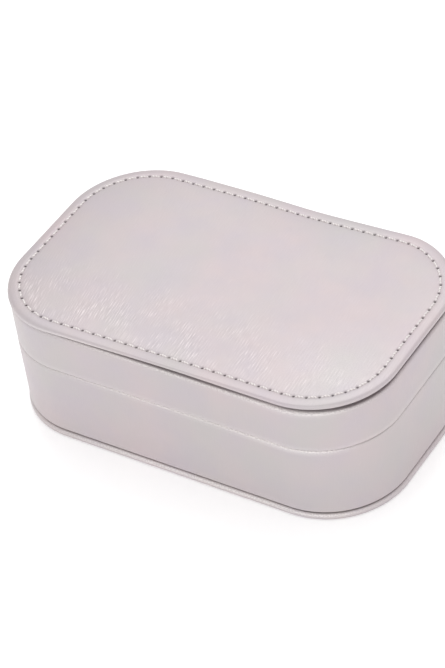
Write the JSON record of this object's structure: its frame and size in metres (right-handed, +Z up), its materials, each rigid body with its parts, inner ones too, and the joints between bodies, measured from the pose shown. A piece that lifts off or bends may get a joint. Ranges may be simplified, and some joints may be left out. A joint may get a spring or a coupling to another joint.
{
  "type": "travel jewelry case",
  "caption": "Rounded rectangular hinged jewelry case wrapped in leatherette, with a padded stitched lid, mirror, ring rolls, velvet compartments and sliding dividers.",
  "frame": {"origin": "middle of the underside, on the surface that the case stands on", "axes": "+X along the case's length to the right, +Y from the opening front towards the hinge at the back, +Z up"},
  "size_m": [0.12, 0.073, 0.042],
  "materials": {
    "leatherette": "pearl",
    "velvet": "matte",
    "velvet_pad": "matte",
    "board": "matte",
    "foam": "matte",
    "tape": "matte",
    "mirror": "polished",
    "magnet": "satin",
    "thread": "satin"
  },
  "bodies": {
    "base": {"sole_cover": "leatherette", "sole_board": "board", "base_wall_core": "board", "base_outer_cover": "leatherette", "base_liner": "velvet", "floor_card": "velvet", "ring_partition_sleeve": "velvet", "ring_partition_card": "board", "long_partition_sleeve": "velvet", "long_partition_card": "board", "ring_roll_1": "velvet_pad", "ring_roll_2": "velvet_pad", "ring_roll_3": "velvet_pad", "ring_roll_4": "velvet_pad", "hinge_strip": "leatherette", "base_magnet_left": "magnet", "base_magnet_right": "magnet"},
    "lid": {"lid_wall_core": "board", "lid_outer_cover": "leatherette", "lid_liner": "velvet", "ceiling_card": "velvet", "lid_top_cover": "leatherette", "lid_top_board": "board", "lid_top_foam": "foam", "mirror_tape": "tape", "mirror_glass": "mirror", "mirror_frame": "velvet", "lid_magnet_left": "magnet", "lid_magnet_right": "magnet"},
    "front_divider": {"front_divider_sleeve": "velvet", "front_divider_card": "board"},
    "back_divider": {"back_divider_sleeve": "velvet", "back_divider_card": "board"}
  },
  "joints": [
    {"name": "lid_hinge", "type": "hinge", "parent": "base", "child": "lid", "pos_m": [0, 0.0362, 0.0255], "axis": [-1, 0, 0], "range_deg": [0, 105], "deforming": ["hinge_strip"]},
    {"name": "front_divider_slide", "type": "slide", "parent": "base", "child": "front_divider", "axis": [1, 0, 0], "range_m": [-0.014, 0.014]},
    {"name": "back_divider_slide", "type": "slide", "parent": "base", "child": "back_divider", "axis": [1, 0, 0], "range_m": [-0.014, 0.014]}
  ]
}
